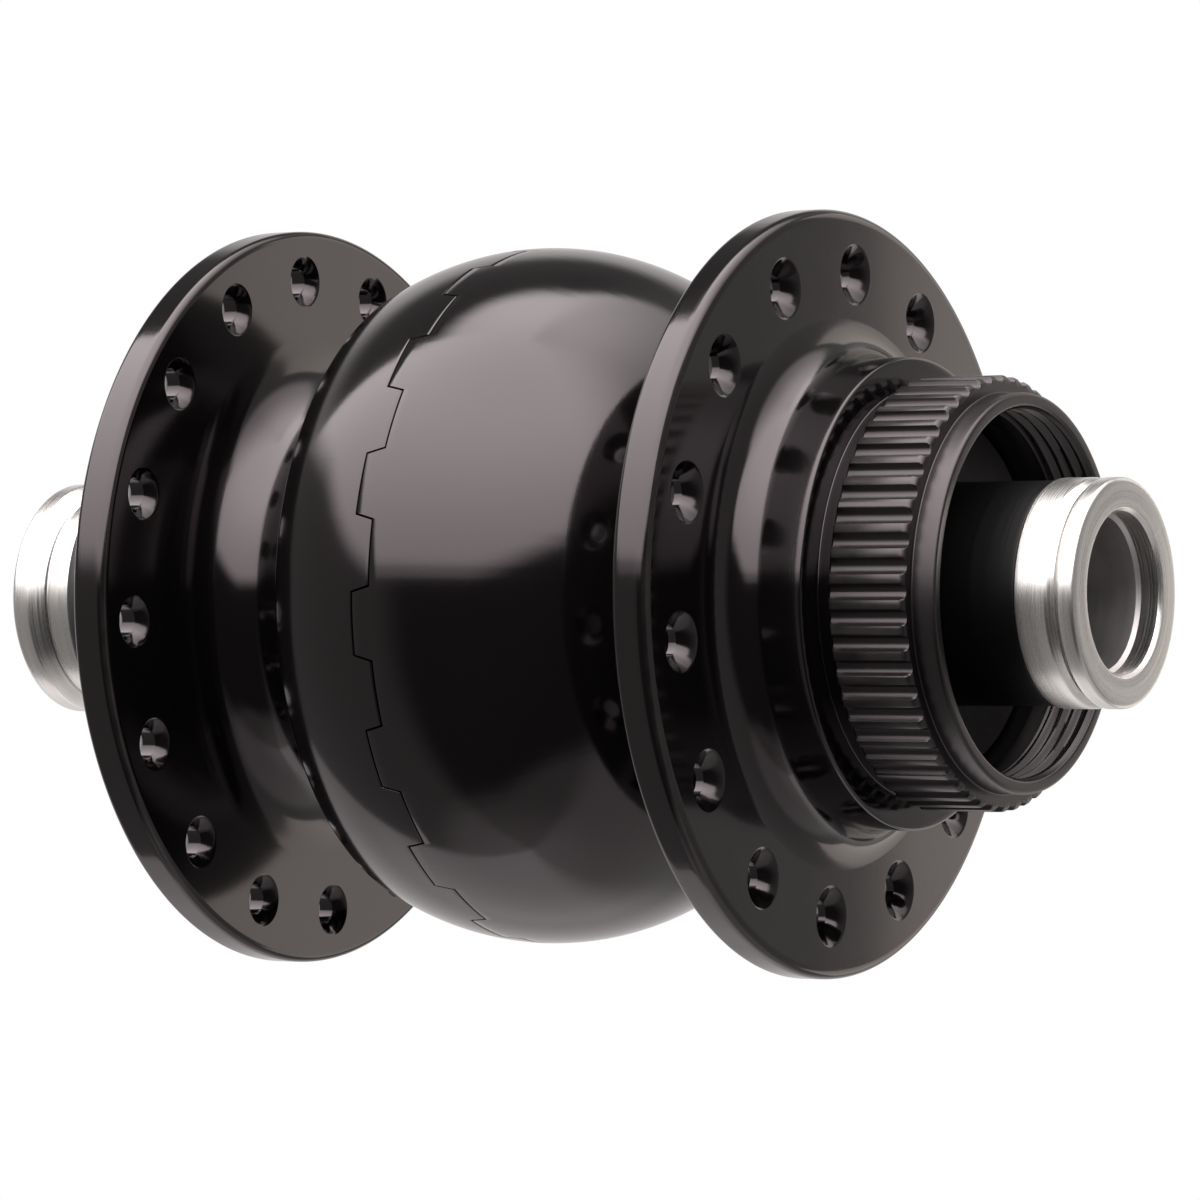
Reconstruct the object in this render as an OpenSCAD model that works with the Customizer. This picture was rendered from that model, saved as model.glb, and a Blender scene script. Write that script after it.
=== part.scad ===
// Front bicycle hub with a built-in generator, for a thru-axle and a splined brake disc.
// The hub axis is the Y axis, +Y is the disc side, +Z is up, and the origin is at the hub's
// centre, midway between the two faces that the fork clamps. Millimetres.

/* [Axle] */
// Distance between the two faces that sit against the fork dropouts
fork_width = 100; // [100:0.5:104]
// Diameter of the bore that the fork's thru-axle passes through
axle_bore_d = 12.1; // [11.9:0.05:12.2]
// Outside diameter of the steel end cap on the disc side
right_cap_d = 18.0; // [17.6:0.1:18.4]
// Outside diameter of the steel end cap on the terminal side
left_cap_d = 19.5; // [19:0.1:20]
// Outside diameter of the black sleeve on the disc side
right_sleeve_d = 17.6; // [17.4:0.1:17.8]
// Outside diameter of the sleeve on the terminal side
left_sleeve_d = 18.4; // [18.2:0.1:18.6]

/* [Flanges] */
// Outside diameter of both spoke flanges
flange_d = 61.2; // [60:0.2:64]
// Thickness of a spoke flange
flange_t = 3.15; // [3:0.05:3.4]
// Inner face of the left spoke flange, measured along the axis
left_flange_y = -25.2; // [-25.6:0.1:-24.8]
// Inner face of the right spoke flange, measured along the axis
right_flange_y = 21.9; // [21.6:0.1:22.2]
// Number of spoke holes in the left flange
left_spokes = 16; // [12:1:18]
// Number of spoke holes in the right flange
right_spokes = 14; // [12:1:18]
// Pitch circle diameter of the left spoke holes
left_pcd = 52.8; // [52:0.2:53.6]
// Pitch circle diameter of the right spoke holes
right_pcd = 51.2; // [50.6:0.2:52]
// Diameter of a spoke hole
spoke_hole_d = 2.6; // [2.3:0.1:2.8]

/* [Barrel] */
// Largest outside diameter of the barrel
barrel_d = 56.8; // [56:0.2:58]
// Radius of the barrel's crown, seen along the axis
crown_r = 22.25; // [21:0.25:24]
// Axial place of the barrel's largest diameter
barrel_y = -1.65; // [-1.8:0.05:-1.5]
// Number of teeth in the interlocking seam between the two shells
seam_teeth = 16; // [12:1:20]

/* [Disc mount] */
// Diameter over the spline teeth
spline_d = 34.2; // [34:0.1:34.6]
// Number of spline teeth
spline_teeth = 54; // [48:1:56]
// Minor diameter of the lockring thread
thread_d = 28.9; // [28.7:0.1:29.1]

/* [Bearings] */
// Bore of each bearing
bearing_bore_d = 15; // [15:1:15]
// Outside diameter of each bearing
bearing_d = 28; // [28:1:28]
// Width of each bearing
bearing_w = 7; // [7:1:7]
// Number of balls in each bearing
ball_count = 10; // [8:1:11]

/* [Generator] */
// Number of magnet poles
poles = 26; // [22:2:28]
// Radial gap between the claws and the magnets
air_gap = 0.4; // [0.3:0.05:0.6]

/* [Hidden] */

eps = 0.05;            // clearance between pieces that are fitted and stay together
cut = 0.5;             // how far a cutter runs past the surface that it opens
end_y = fork_width / 2;

// Axle
bore_r = axle_bore_d / 2;
core_r = 8;            // middle of the axle, under the stator
seat_r = bearing_bore_d / 2;
neck_r = 7.2;          // reduced ends, inside the end caps
neck_y = 43.8;         // where the reduced ends begin
axle_end_y = end_y - 1.8;
groove_r = 6.55;       // floor of the groove that the lead wires lie in
groove_w = 2.2;

// Bearings, and what stands next to them
bearing_in_y = 24.4;   // inner face of each bearing
bearing_out_y = bearing_in_y + bearing_w;
bearing_mid_y = bearing_in_y + bearing_w / 2;
bearing_r = bearing_d / 2;
ball_r = 2;
ball_path_r = 10.75;
race_gap = 0.06;       // running clearance between balls and races
inner_race_r = 9.3;
outer_race_r = 12.2;
circlip_y = bearing_out_y + 0.1;
circlip_t = 1.1;
circlip_groove_r = 14.7;
seal_y = circlip_y + circlip_t + 0.3;
seal_t = 2;

// Shell
flange_r = flange_d / 2;
barrel_r = barrel_d / 2;
crown_c = barrel_r - crown_r;
barrel_half = 10.55;   // from the largest diameter to the barrel's left end wall
corner_r = 1;
waist_r = 16;          // groove between the barrel and the left flange
waist_fillet = 4;
right_waist_fillet = 3; // hollow between the crown and the right flange
flange_fillet = 5.5;
boss_fillet = 3.5;
left_boss_r = 17.2;
right_boss_r = 18.7;
left_boss_y = -35.6;
left_face_y = left_flange_y - flange_t;
right_face_y = right_flange_y + flange_t;
shell_bore_r = 12.6;
cavity_r = 25;
cavity_half = 8.55;
cone_y = 15.2;         // where the hollow on the right has narrowed down
cone_r0 = 22.8;
cone_r1 = 15.5;
seat_wall_y = 36.4;

// Disc mount
spline_r = spline_d / 2;
relief_r = 16.1;
shoulder_y = 31.7;
spline_y0 = 33.2;
spline_y1 = 39.65;
mouth_r = 15.7;
mouth_y = 41.65;
thread_r = thread_d / 2;
thread_y = 37.4;

// Seam
seam_low = -3.08;
seam_high = -1.47;
seam_phase = 6.4;      // angle of the middle of the first tooth
seam_slant = 0.45;     // half the difference between a tooth's base and its tip
seam_gap = 0.12;
spigot_r = 26.3;
spigot_y = 1.6;
seal_ring_r = 25.98;
seal_ring_d = 0.8;
seal_ring_y = -0.2;

// Generator
yoke_r0 = 23.5;
magnet_r0 = 21.5;
claw_r = magnet_r0 - air_gap;
claw_r0 = claw_r - 1.6;
plate_y0 = 7;          // plates and coil are measured from the barrel's middle
plate_y1 = 8.2;
coil_half = 5.7;
bobbin_half = 6.6;
bobbin_r = 18.8;
nut_t = 3.2;
wire_r = 0.35;
wire_z = 0.55;

// Connector
collar_y0 = -43.6;
collar_y1 = -36.8;
collar_r = 11;
tab_w = 4.8;
tab_t = 0.8;
tab_z = 3.5;
tab_x = 21.5;
exit_y = -40;

// Points along a circular arc in the (radius, axial) plane
function arc(c, r, a0, a1, n = 6) =
    [for (i = [0:n]) c + r * [cos(a0 + (a1 - a0) * i / n), sin(a0 + (a1 - a0) * i / n)]];

// Angle at which the barrel's rounded left corner meets its crown
corner_a = asin((barrel_half - corner_r) / (crown_r - corner_r));
corner_c = crown_c + (crown_r - corner_r) * cos(corner_a);

// Angle at which the crown runs into the hollow beside the right flange
hollow_y = right_flange_y - right_waist_fillet;
hollow_a = asin((hollow_y - barrel_y) / (crown_r + right_waist_fillet));
hollow_c = crown_c + (crown_r + right_waist_fillet) * cos(hollow_a);

// Turns an outline of [radius, axial place] points round the hub axis
module turned(outline) rotate([-90, 0, 0]) rotate_extrude($fn = 96) polygon(outline);

// A plain ring or disc between two axial places
module ring(r0, r1, y0, y1) turned([[r0, y0], [r1, y0], [r1, y1], [r0, y1]]);

// A solid cylinder along the hub axis
module drum(r, y0, y1) rotate([-90, 0, 0]) translate([0, 0, y0]) cylinder(r = r, h = y1 - y0, $fn = 96);

// Places its children at an angle round the hub axis, measured from +X towards +Z
module at_angle(a) rotate([0, -a, 0]) children();

// Extrudes an outline of [axial, tangential] points outwards from r0 to r1
module radial_prism(outline, r0, r1)
    translate([r0, 0, 0]) rotate([90, 0, 90]) linear_extrude(height = r1 - r0) polygon(outline);

// A box given by its two corners
module block(low, high) translate(low) cube(high - low);

// ---------------------------------------------------------------- shell

function left_outside() = concat(
    [[bearing_r, left_boss_y], [left_boss_r - 0.6, left_boss_y], [left_boss_r, left_boss_y + 0.6]],
    arc([left_boss_r + boss_fillet, left_face_y - boss_fillet], boss_fillet, 180, 90),
    arc([flange_r - 0.5, left_face_y + 0.5], 0.5, -90, 0, 3),
    arc([flange_r - 0.6, left_flange_y - 0.6], 0.6, 0, 90, 3),
    arc([waist_r + flange_fillet, left_flange_y + flange_fillet], flange_fillet, -90, -180, 8),
    arc([waist_r + waist_fillet, barrel_y - barrel_half - waist_fillet], waist_fillet, 180, 90));

function crown() = concat(
    arc([corner_c, barrel_y - barrel_half + corner_r], corner_r, -90, -corner_a, 4),
    arc([crown_c, barrel_y], crown_r, -corner_a * 0.9, hollow_a, 23));

function right_outside() = concat(
    arc([hollow_c, hollow_y], right_waist_fillet, 174 + hollow_a, 90, 8),
    arc([flange_r - 0.5, right_flange_y + 0.5], 0.5, -90, 0, 3),
    arc([flange_r - 0.8, right_face_y - 0.8], 0.8, 0, 90, 4),
    arc([right_boss_r + boss_fillet, right_face_y + boss_fillet], boss_fillet, -90, -180));

function disc_mount() = [
    [right_boss_r, shoulder_y - 0.2], [right_boss_r - 0.2, shoulder_y], [relief_r, shoulder_y],
    [relief_r, spline_y0 - 0.3], [spline_r, spline_y0], [spline_r, spline_y1 - 0.4],
    [spline_r - 0.4, spline_y1], [mouth_r, spline_y1], [mouth_r, mouth_y - 0.25],
    [mouth_r - 0.25, mouth_y], [thread_r + 0.3, mouth_y], [thread_r, mouth_y - 0.3]];

function right_inside() = [
    [thread_r, thread_y], [thread_r + 0.55, thread_y], [thread_r + 0.55, seat_wall_y],
    [bearing_r, seat_wall_y], [bearing_r, circlip_y + circlip_t + 0.1],
    [circlip_groove_r, circlip_y + circlip_t + 0.1], [circlip_groove_r, circlip_y - 0.05],
    [bearing_r, circlip_y - 0.05], [bearing_r, bearing_in_y], [shell_bore_r, bearing_in_y],
    [shell_bore_r, cone_y], [cone_r1, cone_y], [cone_r0, barrel_y + cavity_half],
    [cavity_r, barrel_y + cavity_half]];

function left_inside() = [
    [cavity_r, barrel_y - cavity_half], [shell_bore_r, barrel_y - cavity_half],
    [shell_bore_r, -bearing_in_y], [bearing_r, -bearing_in_y],
    [bearing_r, -circlip_y + 0.05], [circlip_groove_r, -circlip_y + 0.05],
    [circlip_groove_r, -circlip_y - circlip_t - 0.1], [bearing_r, -circlip_y - circlip_t - 0.1]];

module whole_shell()
    turned(concat(left_outside(), crown(), right_outside(), disc_mount(), right_inside(), left_inside()));

// Space on the left shell's side of the seam, grown by g
module left_of_seam(g = 0) {
    pitch = 360 / seam_teeth;
    half = PI * barrel_r / seam_teeth / 2;
    drum(40, left_boss_y - 1, seam_low + g);
    drum(spigot_r + g, seam_low - 1, spigot_y + g);
    for (i = [0:seam_teeth - 1]) at_angle(seam_phase + i * pitch)
        radial_prism([[seam_low - 1, -half - seam_slant - g], [seam_low, -half - seam_slant / 2 - g],
                      [seam_high + g, -half + seam_slant / 2 - g],
                      [seam_high + g, half - seam_slant / 2 + g],
                      [seam_low, half + seam_slant / 2 + g], [seam_low - 1, half + seam_slant + g]],
                     spigot_r - 1, barrel_r + 1);
}

// A row of spoke holes, countersunk on both faces of the flange
module spoke_holes(count, pcd, phase, y0, y1, sink_r) {
    r = spoke_hole_d / 2;
    depth = sink_r - r;
    for (i = [0:count - 1]) at_angle(phase + i * 360 / count) translate([pcd / 2, 0, 0]) {
        drum(r, y0 - cut, y1 + cut);
        turned([[0, y1 + cut], [sink_r + cut, y1 + cut], [r, y1 - depth], [0, y1 - depth]]);
        turned([[0, y0 - cut], [sink_r + cut, y0 - cut], [r, y0 + depth], [0, y0 + depth]]);
    }
}

module shell_left() color("#1d1b1c") difference() {
    intersection() {
        whole_shell();
        left_of_seam();
    }
    ring(seal_ring_r - seal_ring_d / 2 - eps, spigot_r + 1, seal_ring_y - 0.6, seal_ring_y + 0.6);
    spoke_holes(left_spokes, left_pcd, 17.86, left_face_y, left_flange_y, 2.1);
}

module shell_right() color("#1d1b1c") difference() {
    whole_shell();
    left_of_seam(seam_gap);
    spoke_holes(right_spokes, right_pcd, 17.2, right_flange_y, right_face_y, 2.4);
    for (i = [0:spline_teeth - 1]) at_angle(i * 360 / spline_teeth)
        translate([spline_r, 0, 0]) drum(0.62, spline_y0 - 0.4, spline_y1 + cut);
}

module seam_o_ring() color("#222222") rotate([-90, 0, 0]) translate([0, 0, seal_ring_y])
    rotate_extrude($fn = 96) translate([seal_ring_r, 0]) circle(d = seal_ring_d, $fn = 24);

module magnet_yoke() color("#6f7275")
    ring(yoke_r0, cavity_r - eps, barrel_y - cavity_half + 0.3, barrel_y + cavity_half - 0.3);

module magnets() color("#b9bcc0") difference() {
    ring(magnet_r0, yoke_r0 - eps, barrel_y - 7.8, barrel_y + 7.8);
    for (i = [0:poles - 1]) at_angle((i + 0.5) * 360 / poles)
        block([magnet_r0 - 1, barrel_y - 9, -0.25], [yoke_r0 + 1, barrel_y + 9, 0.25]);
}

// A spring ring with a gap and two drilled ears, lying in its groove from axial place y0 outwards
module circlip(y0) color("#3d3f42") rotate([-90, 0, 0]) translate([0, 0, y0])
    linear_extrude(height = circlip_t) difference() {
        ear_r = 12.5;
        ear_a = 24;
        union() {
            difference() {
                circle(r = circlip_groove_r - 0.1, $fn = 96);
                circle(r = 12.7, $fn = 96);
                polygon([[0, 0], [20 * sin(ear_a), 20 * cos(ear_a)], [-20 * sin(ear_a), 20 * cos(ear_a)]]);
            }
            for (s = [-1, 1]) translate([s * ear_r * sin(ear_a), ear_r * cos(ear_a)]) circle(r = 1.5, $fn = 32);
        }
        for (s = [-1, 1]) translate([s * ear_r * sin(ear_a), ear_r * cos(ear_a)]) circle(r = 0.7, $fn = 32);
    }

module circlip_right() circlip(circlip_y);
module circlip_left() circlip(-circlip_y - circlip_t);

// A rubber seal with a lip that runs close to the sleeve, growing outwards from y0
module dust_seal(sleeve_d, y0, s) color("#1b1b1d") turned([
    [sleeve_d / 2 + 0.1, y0 + s * seal_t], [sleeve_d / 2 + 0.1, y0 + s * (seal_t - 0.5)],
    [sleeve_d / 2 + 1.1, y0 + s * 0.8], [sleeve_d / 2 + 1.1, y0], [bearing_r - eps, y0],
    [bearing_r - eps, y0 + s * (seal_t - 0.3)], [bearing_r - 0.35, y0 + s * seal_t]]);

module dust_seal_right() dust_seal(right_sleeve_d, seal_y, 1);
module dust_seal_left() dust_seal(left_sleeve_d, -seal_y, -1);

// ---------------------------------------------------------------- bearings

// One race of a ball bearing: a ring with a round groove for the balls
module race(r0, r1, s) color("#c3c6ca") rotate([-90, 0, 0]) rotate_extrude($fn = 96) difference() {
    translate([r0, s * bearing_mid_y - bearing_w / 2]) square([r1 - r0, bearing_w]);
    translate([ball_path_r, s * bearing_mid_y]) circle(r = ball_r + race_gap, $fn = 48);
}

module balls(s) color("#d9dbde") for (i = [0:ball_count - 1]) at_angle(i * 360 / ball_count)
    translate([ball_path_r, s * bearing_mid_y, 0]) sphere(r = ball_r, $fn = 48);

// A ring that keeps the balls apart, with a round pocket drilled through it for each one
module cage(s) color("#b48a4a") difference() {
    ring(10.1, 11.4, s * bearing_mid_y - 2.6, s * bearing_mid_y + 2.6);
    for (i = [0:ball_count - 1]) at_angle(i * 360 / ball_count)
        translate([9, s * bearing_mid_y, 0]) rotate([0, 90, 0]) cylinder(r = ball_r + 0.1, h = 4, $fn = 48);
}

// The two thin shields that close a bearing
module shields(s) color("#2a2a2c") for (t = [-1, 1])
    ring(inner_race_r + 0.15, outer_race_r - eps,
         s * bearing_mid_y + t * 3.2 - 0.2, s * bearing_mid_y + t * 3.2 + 0.2);

module bearing_left_inner_race() race(seat_r + 0.02, inner_race_r, -1);
module bearing_right_inner_race() race(seat_r + 0.02, inner_race_r, 1);
module bearing_left_outer_race() race(outer_race_r, bearing_r - 0.02, -1);
module bearing_right_outer_race() race(outer_race_r, bearing_r - 0.02, 1);
module bearing_left_balls() balls(-1);
module bearing_right_balls() balls(1);
module bearing_left_cage() cage(-1);
module bearing_right_cage() cage(1);
module bearing_left_shields() shields(-1);
module bearing_right_shields() shields(1);

// ---------------------------------------------------------------- axle and end caps

module axle() color("#8d9094") difference() {
    turned([[bore_r + 0.3, -axle_end_y], [neck_r - 0.3, -axle_end_y], [neck_r, -axle_end_y + 0.3],
            [neck_r, -neck_y], [seat_r, -neck_y], [seat_r, -bearing_in_y],
            [core_r, -bearing_in_y], [core_r, bearing_in_y], [seat_r, bearing_in_y],
            [seat_r, neck_y], [neck_r, neck_y], [neck_r, axle_end_y - 0.3],
            [neck_r - 0.3, axle_end_y], [bore_r + 0.3, axle_end_y], [bore_r, axle_end_y - 0.3],
            [bore_r, -axle_end_y + 0.3]]);
    block([-core_r - cut, -42, -groove_w / 2], [-groove_r, barrel_y - plate_y0, groove_w / 2]);
    block([6.9, barrel_y - plate_y1, -1.5], [core_r + cut, barrel_y + plate_y1, 1.5]);
}

// Both end caps have a socket for the axle, with a groove in it for an O-ring
ring_y = 46.4;
ring_groove_r = 8.06;
function socket(s, y0) = [
    [neck_r + eps, s * y0], [neck_r + eps, s * (ring_y - 0.5)], [ring_groove_r, s * (ring_y - 0.5)],
    [ring_groove_r, s * (ring_y + 0.5)], [neck_r + eps, s * (ring_y + 0.5)],
    [neck_r + eps, s * (axle_end_y + 0.03)], [bore_r + 0.3, s * (axle_end_y + 0.03)]];

module end_cap_right() color("#c9c7c4") turned(concat(socket(1, 44.9), [
    [bore_r + 0.3, end_y - 0.3], [bore_r + 0.6, end_y], [right_cap_d / 2 - 0.45, end_y],
    [right_cap_d / 2, end_y - 0.45], [right_cap_d / 2, 48.75], [right_cap_d / 2 - 0.55, 48.45],
    [right_cap_d / 2 - 0.55, 48.25], [right_cap_d / 2, 47.6], [right_cap_d / 2, 44.9]]));

module end_cap_left() color("#c9c7c4") turned(concat(socket(-1, 43.95), [
    [bore_r + 0.3, -end_y + 0.3], [bore_r + 0.6, -end_y], [left_cap_d / 2 - 0.4, -end_y],
    [left_cap_d / 2, -end_y + 0.4], [left_cap_d / 2, -48.3], [9.0, -47.1], [8.75, -46.9],
    [9.0, -46.6], [9.0, -43.95]]));

module end_cap_o_rings() color("#1c1c1e") for (s = [-1, 1]) rotate([-90, 0, 0])
    translate([0, 0, s * ring_y]) rotate_extrude($fn = 96) translate([(neck_r + ring_groove_r) / 2, 0])
    circle(d = ring_groove_r - neck_r - 0.02, $fn = 24);

module sleeve_right() color("#161617")
    ring(seat_r + eps, right_sleeve_d / 2, bearing_out_y + 0.02, 44.85);

module sleeve_left() color("#161617") difference() {
    ring(seat_r + eps, left_sleeve_d / 2, collar_y0 - 0.1, -bearing_out_y - 0.02);
    block([-12, exit_y - 1, -1.2], [-6, exit_y + 1, 1.2]);
}

// ---------------------------------------------------------------- electrical side

module connector_block() color("#202123") difference() {
    union() {
        ring(left_sleeve_d / 2 + eps, collar_r, collar_y0, collar_y1);
        difference() {
            block([-16, collar_y0 + 0.3, -6.6], [-5, collar_y1 - 0.3, 6.6]);
            drum(left_sleeve_d / 2 + eps, collar_y0 - 1, collar_y1 + 1);
        }
    }
    block([-12.6, exit_y - 1, -4.2], [-8, exit_y + 1, 4.2]);
    for (s = [-1, 1]) block([-18, exit_y - tab_w / 2 - eps, s * tab_z - tab_t / 2 - eps],
                            [-12, exit_y + tab_w / 2 + eps, s * tab_z + tab_t / 2 + eps]);
}

// Two flat spade terminals, each with a latch hole near its tip
module terminal_tabs() color("#cfc9b8") for (s = [-1, 1]) difference() {
    linear_tab(s);
    translate([-tab_x + 2.4, exit_y, s * tab_z - 1]) cylinder(r = 0.7, h = 2, $fn = 32);
}

module linear_tab(s) translate([0, 0, s * tab_z - tab_t / 2]) linear_extrude(height = tab_t) polygon([
    [-12.55, exit_y - tab_w / 2], [-tab_x + 0.8, exit_y - tab_w / 2], [-tab_x, exit_y - tab_w / 2 + 0.8],
    [-tab_x, exit_y + tab_w / 2 - 0.8], [-tab_x + 0.8, exit_y + tab_w / 2],
    [-12.55, exit_y + tab_w / 2]]);

// A straight piece of wire with round ends
module wire_run(a, b) {
    d = b - a;
    translate(a) sphere(r = wire_r, $fn = 24);
    translate(b) sphere(r = wire_r, $fn = 24);
    translate(a) rotate([0, acos(d[2] / norm(d)), atan2(d[1], d[0])])
        cylinder(r = wire_r, h = norm(d), $fn = 24);
}

// From the coil, down to the groove in the axle, along it and out to a terminal
module lead_wires() color("#b5651d") for (s = [-1, 1]) {
    z = s * wire_z;
    path = [[-11.2, barrel_y - coil_half - 0.4, z], [-11.2, barrel_y - 7.6, z],
            [-6.98, barrel_y - 7.6, z], [-6.98, exit_y, z], [-11.3, exit_y, z],
            [-11.3, exit_y, s * tab_z], [-12.15, exit_y, s * tab_z]];
    for (i = [0:len(path) - 2]) wire_run(path[i], path[i + 1]);
}

// ---------------------------------------------------------------- generator

module stator_key() color("#8d9094")
    block([6.95, barrel_y - bobbin_half, -1.45], [8.75, barrel_y + bobbin_half, 1.45]);

// Slot that lets the key through the parts that sit on the axle
module key_slot() block([0, barrel_y - 10, -1.5], [8.8, barrel_y + 10, 1.5]);

module stator_core() color("#7b7e82") difference() {
    ring(core_r + eps, 9.6, barrel_y - plate_y0 + 0.05, barrel_y + plate_y0 - 0.05);
    key_slot();
}

module coil_bobbin() color("#e8e4d8") difference() {
    turned([[9.65, barrel_y - bobbin_half], [bobbin_r, barrel_y - bobbin_half],
            [bobbin_r, barrel_y - coil_half - 0.05], [10.3, barrel_y - coil_half - 0.05],
            [10.3, barrel_y + coil_half + 0.05], [bobbin_r, barrel_y + coil_half + 0.05],
            [bobbin_r, barrel_y + bobbin_half], [9.65, barrel_y + bobbin_half]]);
    block([-12, barrel_y - bobbin_half - 1, -1.2], [-10.4, barrel_y - coil_half + 0.05, 1.2]);
}

module coil_winding() color("#b5602a") difference() {
    ring(10.35, 18.2, barrel_y - coil_half, barrel_y + coil_half);
    block([-12, barrel_y - coil_half - 1, -1.2], [-10, barrel_y - coil_half + 0.9, 1.2]);
}

// A disc with a claw for every other pole, bent to the left over the coil
module claw_plate(phase) color("#8a8d91") {
    base = 1.95;
    tip = 1.2;
    tip_y = barrel_y - 6.2;
    y0 = barrel_y + plate_y0;
    y1 = barrel_y + plate_y1;
    difference() {
        ring(core_r + eps, claw_r, y0, y1);
        block([-12, barrel_y, -1.2], [0, y1 + 1, 1.2]);
    }
    for (i = [0:poles / 2 - 1]) at_angle(phase + i * 720 / poles)
        radial_prism([[(y0 + y1) / 2, -base], [tip_y, -tip], [tip_y, tip], [(y0 + y1) / 2, base]],
                     claw_r0, claw_r - 0.2);
}

module claw_plate_right() claw_plate(180 / poles);
module claw_plate_left() translate([0, 2 * barrel_y, 0]) mirror([0, 1, 0]) claw_plate(540 / poles);

// A thin hexagonal nut, growing along the axis from y0
module stator_nut(y0) color("#a5a8ac") difference() {
    rotate([-90, 0, 0]) translate([0, 0, y0]) cylinder(r = 11.4, h = nut_t, $fn = 6);
    drum(core_r + eps, y0 - 1, y0 + nut_t + 1);
}

module stator_nut_right() stator_nut(barrel_y + plate_y1 + eps);
module stator_nut_left() stator_nut(barrel_y - plate_y1 - eps - nut_t);

axle();
end_cap_left();
end_cap_right();
end_cap_o_rings();
sleeve_left();
sleeve_right();
connector_block();
terminal_tabs();
lead_wires();
stator_key();
stator_core();
claw_plate_left();
claw_plate_right();
coil_bobbin();
coil_winding();
stator_nut_left();
stator_nut_right();
bearing_left_inner_race();
bearing_right_inner_race();
bearing_left_outer_race();
bearing_right_outer_race();
bearing_left_balls();
bearing_right_balls();
bearing_left_cage();
bearing_right_cage();
bearing_left_shields();
bearing_right_shields();
shell_left();
shell_right();
seam_o_ring();
magnet_yoke();
magnets();
circlip_left();
circlip_right();
dust_seal_left();
dust_seal_right();
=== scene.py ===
import math

import bmesh
import bpy
import numpy as np
from mathutils import Matrix, Vector


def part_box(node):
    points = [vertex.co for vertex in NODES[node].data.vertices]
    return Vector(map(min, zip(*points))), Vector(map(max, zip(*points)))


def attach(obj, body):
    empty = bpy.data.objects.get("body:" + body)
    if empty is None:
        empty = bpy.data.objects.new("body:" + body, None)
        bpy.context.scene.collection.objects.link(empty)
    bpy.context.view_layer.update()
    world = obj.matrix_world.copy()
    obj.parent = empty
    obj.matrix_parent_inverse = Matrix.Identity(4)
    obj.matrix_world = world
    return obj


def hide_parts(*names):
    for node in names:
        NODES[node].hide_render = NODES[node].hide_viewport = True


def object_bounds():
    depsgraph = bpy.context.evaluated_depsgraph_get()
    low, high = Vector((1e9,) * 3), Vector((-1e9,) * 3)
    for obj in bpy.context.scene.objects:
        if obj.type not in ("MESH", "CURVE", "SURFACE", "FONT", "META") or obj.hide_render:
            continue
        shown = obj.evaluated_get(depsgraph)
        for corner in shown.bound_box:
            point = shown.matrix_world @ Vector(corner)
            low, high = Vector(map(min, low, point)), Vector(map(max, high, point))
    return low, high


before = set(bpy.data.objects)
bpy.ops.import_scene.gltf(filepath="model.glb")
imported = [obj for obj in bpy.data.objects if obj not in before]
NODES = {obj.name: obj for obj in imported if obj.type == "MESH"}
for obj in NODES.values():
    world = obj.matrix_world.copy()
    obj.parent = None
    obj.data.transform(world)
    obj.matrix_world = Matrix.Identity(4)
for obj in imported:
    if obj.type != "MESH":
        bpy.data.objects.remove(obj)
cad_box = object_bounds()

# Everything below is in millimetres and degrees, in the frame's own axes: the hub axis is Y, Z is up.
MM = 0.001


def high(node, axis):
    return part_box(node)[1][axis] / MM


def low(node, axis):
    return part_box(node)[0][axis] / MM


# Sizes read from the frame
FLANGE_R = high("shell_left", 2)
LEFT_BOSS_Y = low("shell_left", 1)
MOUTH_Y = high("shell_right", 1)
SPIGOT_Y = high("shell_left", 1)
CAP_END_Y = high("end_cap_right", 1)
RIGHT_CAP_R = high("end_cap_right", 2)
LEFT_CAP_R = high("end_cap_left", 2)
RIGHT_CAP_Y0 = low("end_cap_right", 1)
LEFT_CAP_Y1 = high("end_cap_left", 1)
RIGHT_SLEEVE_R = high("sleeve_right", 2)
COLLAR_R = high("connector_block", 2)
BLOCK_X = low("connector_block", 0)
TAB_X = low("terminal_tabs", 0)
COLLAR_Y0 = low("connector_block", 1)
COLLAR_Y1 = high("connector_block", 1)
TAB_Y0 = low("terminal_tabs", 1)
TAB_Y1 = high("terminal_tabs", 1)

# Shell
FLANGE_T = 3.15
LEFT_FLANGE_Y = -25.2
RIGHT_FLANGE_Y = 21.9
BARREL_R = 28.4
BARREL_Y = -1.65
CROWN_R = 22.25
WALL_Y = BARREL_Y - 10.55
WAIST_R = 16.0
BEARING_R = 14.0
SPIGOT_R = 26.3
CAVITY_R = 25.0
CAVITY_HALF = 8.55
SPOKE_HOLE_R = 1.3

# Bearing seats in both shells, measured from the middle of the hub
NECK_R = 12.6
SEAT_Y = 24.4
CIRCLIP_R = 14.7
CIRCLIP_Y0 = 31.45
CIRCLIP_Y1 = 32.7

# Seam between the two shells
TEETH = 16
SEAM_LOW = -3.08
SEAM_HIGH = -1.47
SEAM_PHASE = 6.4
SEAM_SLANT = 0.45
SEAM_GAP = 0.12

# Disc mount
SHOULDER_R = 18.7
SHOULDER_Y = 31.7
RELIEF_R = 16.1
SPLINE_TEETH = 54
SPLINE_R = 17.1
SPLINE_Y0 = 33.0
SPLINE_Y1 = 39.65
GROOVE_R = 0.62
LIP_R = 15.7
THREAD_R = 14.45
THREAD_PITCH = 1.0
THREAD_DEPTH = 0.42
THREAD_Y0 = 37.45
THREAD_Y1 = 41.15

# End caps
CAP_BORE_R = 6.35
AXLE_SEAT_R = 7.25
AXLE_END_Y = 48.23
RING_GROOVE_R = 8.06
RING_GROOVE_Y0 = 45.9
RING_GROOVE_Y1 = 46.9
SLEEVE_BORE_R = 7.55

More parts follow.
